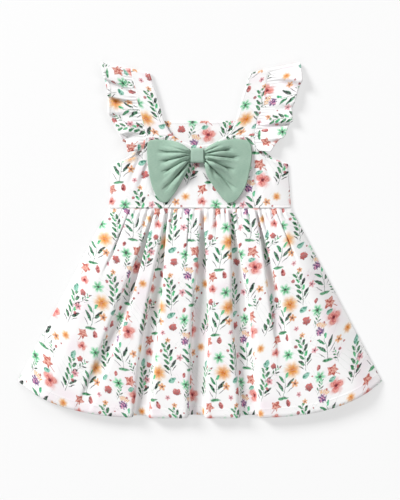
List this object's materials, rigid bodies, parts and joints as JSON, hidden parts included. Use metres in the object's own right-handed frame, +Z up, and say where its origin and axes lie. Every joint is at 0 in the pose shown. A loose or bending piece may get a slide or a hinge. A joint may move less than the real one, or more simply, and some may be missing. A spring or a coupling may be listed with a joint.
{
  "type": "toddler sundress",
  "caption": "Toddler's cotton sundress laid flat: gathered flared skirt, plain bodice, straps with flutter ruffles and a large soft bow at the neckline.",
  "frame": {"origin": "centre of the laid garment's footprint, on the surface that it lies on", "axes": "+Z up from the surface and out of the dress's front, +Y from the hem towards the shoulders, +X towards the right of a viewer who faces the front"},
  "size_m": [0.5286, 0.516, 0.0163],
  "materials": {
    "printed_cloth": "matt cotton, white ground with a small scattered print of flowers and leaves",
    "bow_cloth": "matt plain cotton, sage green"
  },
  "bodies": {
    "root": {"front_skirt": "printed_cloth", "back_skirt": "printed_cloth", "front_bodice": "printed_cloth", "back_bodice": "printed_cloth", "strap_left": "printed_cloth", "strap_right": "printed_cloth", "ruffle_left": "printed_cloth", "ruffle_right": "printed_cloth", "bow_wing_left": "bow_cloth", "bow_wing_right": "bow_cloth", "bow_knot": "bow_cloth"}
  },
  "joints": []
}
